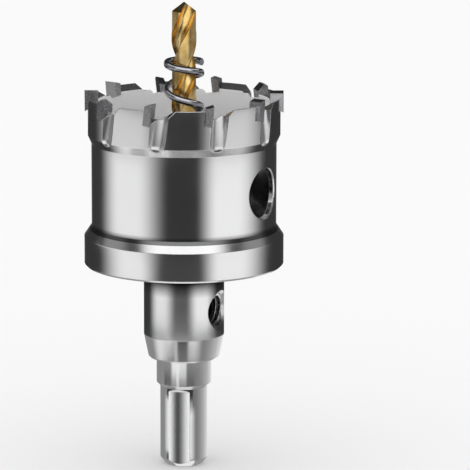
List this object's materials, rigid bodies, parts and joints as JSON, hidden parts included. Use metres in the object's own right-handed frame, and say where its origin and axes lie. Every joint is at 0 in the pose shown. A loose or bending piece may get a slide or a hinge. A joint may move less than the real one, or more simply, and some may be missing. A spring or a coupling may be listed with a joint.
{
  "type": "hole saw",
  "caption": "Carbide-tipped hole saw: a toothed steel cup with chip windows on a three-flat shank, with a pilot drill and an ejector spring, for cutting round holes in metal sheet.",
  "frame": {"origin": "centre of the shank's end face", "axes": "+Z along the tool's axis from the shank's end towards the pilot drill's point, +X outwards through one chip window"},
  "size_m": [0.0484, 0.0484, 0.1141],
  "materials": {
    "cup_steel": "turned and polished bare alloy steel",
    "arbor_steel": "turned and polished bare steel",
    "tungsten_carbide": "ground tungsten carbide, brazed in place",
    "coated_drill_steel": "high-speed steel with a gold titanium nitride coating",
    "spring_steel": "dark oiled spring wire",
    "screw_steel": "black oxide steel"
  },
  "bodies": {
    "root": {"cutter_cup": "cup_steel", "arbor": "arbor_steel", "carbide_tip_01": "tungsten_carbide", "carbide_tip_02": "tungsten_carbide", "carbide_tip_03": "tungsten_carbide", "carbide_tip_04": "tungsten_carbide", "carbide_tip_05": "tungsten_carbide", "carbide_tip_06": "tungsten_carbide", "carbide_tip_07": "tungsten_carbide", "carbide_tip_08": "tungsten_carbide", "carbide_tip_09": "tungsten_carbide", "carbide_tip_10": "tungsten_carbide", "pilot_drill": "coated_drill_steel", "ejector_spring": "spring_steel", "set_screw": "screw_steel"}
  },
  "joints": []
}
